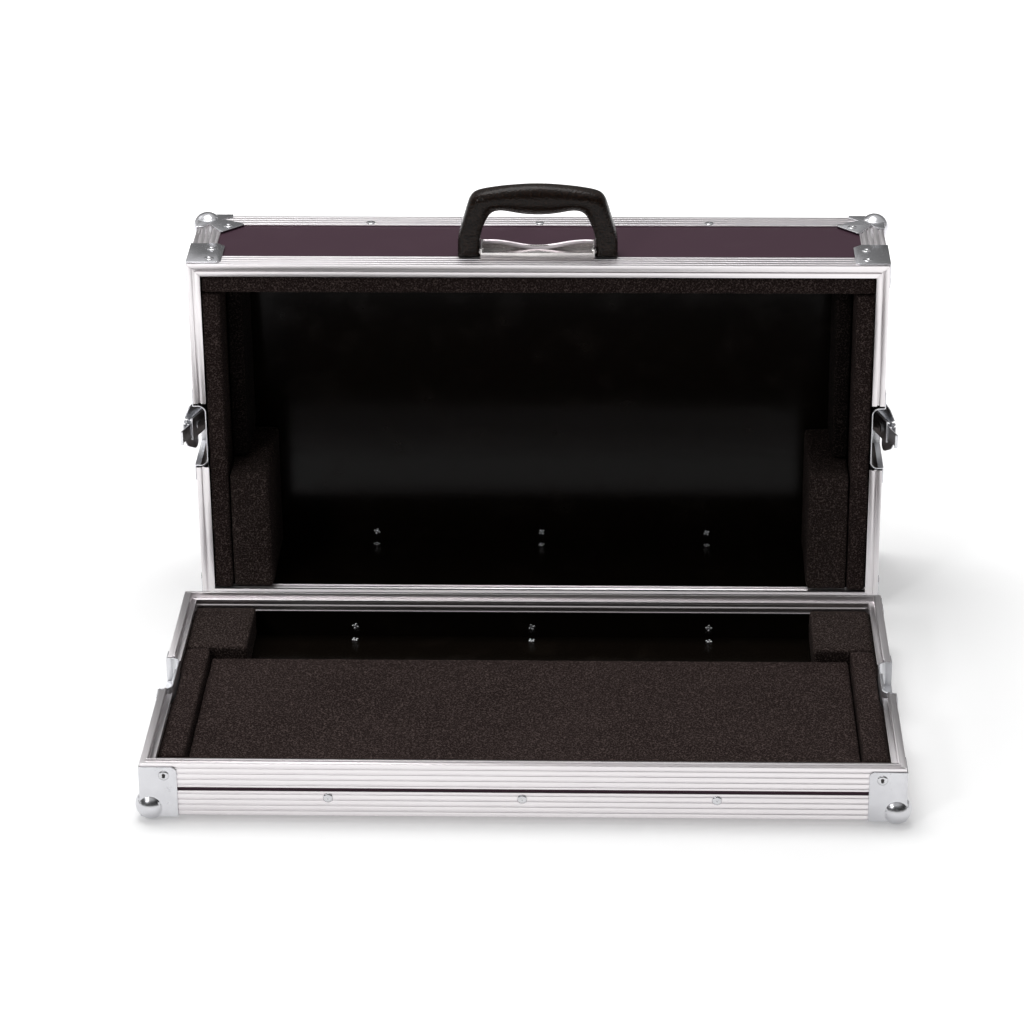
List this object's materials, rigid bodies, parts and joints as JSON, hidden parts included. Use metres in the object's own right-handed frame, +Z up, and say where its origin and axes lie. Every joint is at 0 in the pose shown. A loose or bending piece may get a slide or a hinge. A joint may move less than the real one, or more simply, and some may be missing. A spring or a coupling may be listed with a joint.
{
  "type": "flight case for a synthesizer",
  "caption": "Open flight case: shallow foam-lined tray with rimmed edges and a deep lift-off lid with a folding handle, butterfly latches and ball corners.",
  "frame": {"origin": "on the floor, under the middle of the overall box of the open case", "axes": "+X along the case's long side, to the right as seen from the front; +Y from the tray towards the standing lid; +Z up"},
  "size_m": [0.7282, 0.6255, 0.4575],
  "materials": {
    "laminate": "dark phenolic film, satin outside and glossy inside",
    "aluminium": "extruded, lengthwise ribs",
    "corner_steel": "bright zinc plated",
    "rivet_steel": "bright zinc plated",
    "latch_steel": "bright zinc plated",
    "bracket_steel": "polished",
    "handle_plastic": "moulded with a fine leather grain",
    "foam": "closed-cell foam, faintly speckled"
  },
  "bodies": {
    "base": {"base_ball_corners": "corner_steel", "base_front_edge": "aluminium", "base_front_foam": "foam", "base_front_rim": "aluminium", "base_front_wall": "laminate", "base_left_catch": "corner_steel", "base_left_edge": "aluminium", "base_left_foam": "foam", "base_left_rim": "aluminium", "base_left_wall": "laminate", "base_pad": "foam", "base_panel": "laminate", "base_rear_blocks": "foam", "base_rear_edge": "aluminium", "base_rear_rim": "aluminium", "base_rear_wall": "laminate", "base_right_catch": "corner_steel", "base_right_edge": "aluminium", "base_right_foam": "foam", "base_right_rim": "aluminium", "base_right_wall": "laminate", "base_rivets": "rivet_steel"},
    "lid": {"handle_bracket": "bracket_steel", "handle_pins": "latch_steel", "latch_pins": "latch_steel", "left_latch_dish": "corner_steel", "lid_ball_corners": "corner_steel", "lid_bottom_edge": "aluminium", "lid_bottom_rim": "aluminium", "lid_bottom_wall": "laminate", "lid_brace_rivets": "rivet_steel", "lid_corner_angles": "aluminium", "lid_corner_blocks": "foam", "lid_left_edge": "aluminium", "lid_left_rim": "aluminium", "lid_left_wall": "laminate", "lid_panel": "laminate", "lid_right_edge": "aluminium", "lid_right_rim": "aluminium", "lid_right_wall": "laminate", "lid_rim_braces": "corner_steel", "lid_rivets": "rivet_steel", "lid_side_foam": "foam", "lid_side_pads": "foam", "lid_top_edge": "aluminium", "lid_top_foam": "foam", "lid_top_rim": "aluminium", "lid_top_wall": "laminate", "right_latch_dish": "corner_steel"},
    "handle": {"handle": "handle_plastic"},
    "right_arm": {"right_latch_arm": "latch_steel"},
    "right_hook": {"right_latch_hook": "latch_steel"},
    "right_rotor": {"right_latch_rotor": "latch_steel"},
    "right_upper_wing": {"right_latch_upper_wing": "latch_steel"},
    "right_lower_wing": {"right_latch_lower_wing": "latch_steel"},
    "left_arm": {"left_latch_arm": "latch_steel"},
    "left_hook": {"left_latch_hook": "latch_steel"},
    "left_rotor": {"left_latch_rotor": "latch_steel"},
    "left_upper_wing": {"left_latch_upper_wing": "latch_steel"},
    "left_lower_wing": {"left_latch_lower_wing": "latch_steel"}
  },
  "joints": [
    {"name": "lid_lift", "type": "slide", "parent": "base", "child": "lid", "axis": [0, 0, 1], "range_m": [0, 0.5]},
    {"name": "handle_fold", "type": "hinge", "parent": "lid", "child": "handle", "pos_m": [0, 0.18136, 0.38364], "axis": [1, 0, 0], "range_deg": [0, 85]},
    {"name": "right_arm_swing", "type": "hinge", "parent": "lid", "child": "right_arm", "pos_m": [0.3415, 0.2206, 0.19139], "axis": [0, -0.0349, 0.9994], "range_deg": [-19, 56]},
    {"name": "right_rotor_turn", "type": "hinge", "parent": "right_arm", "child": "right_rotor", "pos_m": [0.35153, 0.19393, 0.19046], "axis": [-0.9455, -0.3254, -0.0114], "range_deg": [-29, 151]},
    {"name": "right_hook_draw", "type": "slide", "parent": "right_arm", "child": "right_hook", "axis": [-0.3256, 0.9449, 0.033], "range_m": [-0.00099, 0.00505]},
    {"name": "right_upper_wing_fold", "type": "hinge", "parent": "right_rotor", "child": "right_upper_wing", "pos_m": [0.35796, 0.19614, 0.19054], "axis": [-0.2847, 0.8434, -0.4556], "range_deg": [0, 92]},
    {"name": "right_lower_wing_fold", "type": "hinge", "parent": "right_rotor", "child": "right_lower_wing", "pos_m": [0.35796, 0.19614, 0.19054], "axis": [0.2847, -0.8434, 0.4556], "range_deg": [0, 92]},
    {"name": "left_arm_swing", "type": "hinge", "parent": "lid", "child": "left_arm", "pos_m": [-0.3415, 0.2206, 0.19139], "axis": [0, 0.0349, -0.9994], "range_deg": [-19, 56]},
    {"name": "left_rotor_turn", "type": "hinge", "parent": "left_arm", "child": "left_rotor", "pos_m": [-0.35153, 0.19393, 0.19046], "axis": [-0.9455, 0.3254, 0.0114], "range_deg": [-29, 151]},
    {"name": "left_hook_draw", "type": "slide", "parent": "left_arm", "child": "left_hook", "axis": [0.3256, 0.9449, 0.033], "range_m": [-0.00099, 0.00505]},
    {"name": "left_upper_wing_fold", "type": "hinge", "parent": "left_rotor", "child": "left_upper_wing", "pos_m": [-0.35796, 0.19614, 0.19054], "axis": [-0.2847, -0.8434, 0.4556], "range_deg": [0, 92]},
    {"name": "left_lower_wing_fold", "type": "hinge", "parent": "left_rotor", "child": "left_lower_wing", "pos_m": [-0.35796, 0.19614, 0.19054], "axis": [0.2847, 0.8434, -0.4556], "range_deg": [0, 92]}
  ],
  "couplings": [
    {"joint": "right_hook_draw", "follows": "right_rotor_turn", "m_per_rad": 0.0019099},
    {"joint": "left_hook_draw", "follows": "left_rotor_turn", "m_per_rad": 0.0019099}
  ]
}
